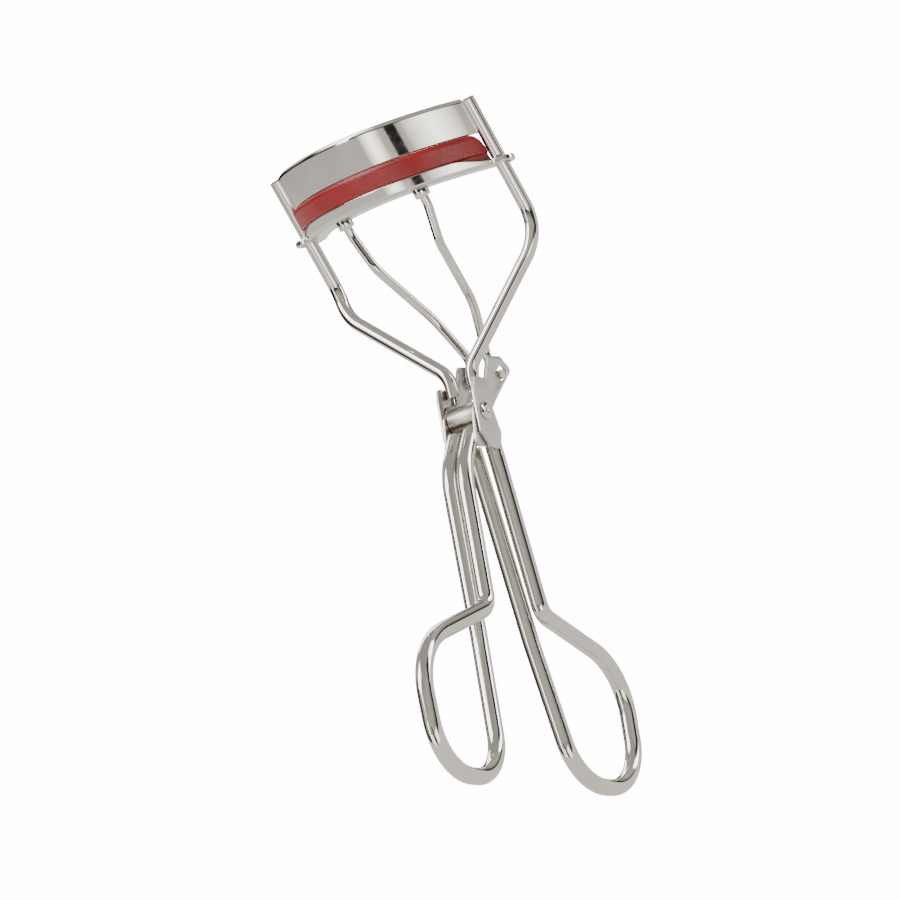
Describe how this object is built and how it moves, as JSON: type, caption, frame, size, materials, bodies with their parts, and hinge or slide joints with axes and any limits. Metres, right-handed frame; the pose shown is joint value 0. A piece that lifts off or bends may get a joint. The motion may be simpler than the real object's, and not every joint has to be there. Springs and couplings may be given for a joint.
{
  "type": "eyelash curler",
  "caption": "Scissor eyelash curler of bent nickel-plated wire: looped finger handles on a rivet close a bowed red pad in a sliding channel against a bowed upper jaw.",
  "frame": {"origin": "below the middle of the whole object's bounding box, level with the lowest point of the back handle's loop", "axes": "+X along the pivot rivet, +Z the way the sliding jaw closes, -Y the bowed front of the jaws, +Y the side that faces the eye"},
  "size_m": [0.0424, 0.0704, 0.1083],
  "materials": {
    "polished_nickel": "polished nickel plate on steel wire and sheet",
    "red_pad": "smooth satin silicone rubber"
  },
  "bodies": {
    "frame": {"back_handle": "polished_nickel", "back_ear_left": "polished_nickel", "back_ear_right": "polished_nickel", "frame_wire_left": "polished_nickel", "frame_wire_right": "polished_nickel", "upper_jaw": "polished_nickel", "pivot_rivet": "polished_nickel", "pivot_barrel": "polished_nickel"},
    "front_grip": {"front_handle": "polished_nickel", "front_ear_left": "polished_nickel", "front_ear_right": "polished_nickel"},
    "sliding_jaw": {"lower_jaw": "polished_nickel", "curling_pad": "red_pad", "push_rod_left": "polished_nickel", "push_rod_right": "polished_nickel", "rod_foot_left": "polished_nickel", "rod_foot_right": "polished_nickel"}
  },
  "joints": [
    {"name": "handle_pivot", "type": "hinge", "parent": "frame", "child": "front_grip", "pos_m": [0, 0.0178, 0.06186], "axis": [1, 0, 0], "range_deg": [-35, 0]},
    {"name": "jaw_slide", "type": "slide", "parent": "frame", "child": "sliding_jaw", "axis": [0, 0, 1], "range_m": [-0.0065, 0]}
  ],
  "couplings": [
    {"joint": "jaw_slide", "follows": "handle_pivot", "m_per_rad": 0.010618}
  ]
}
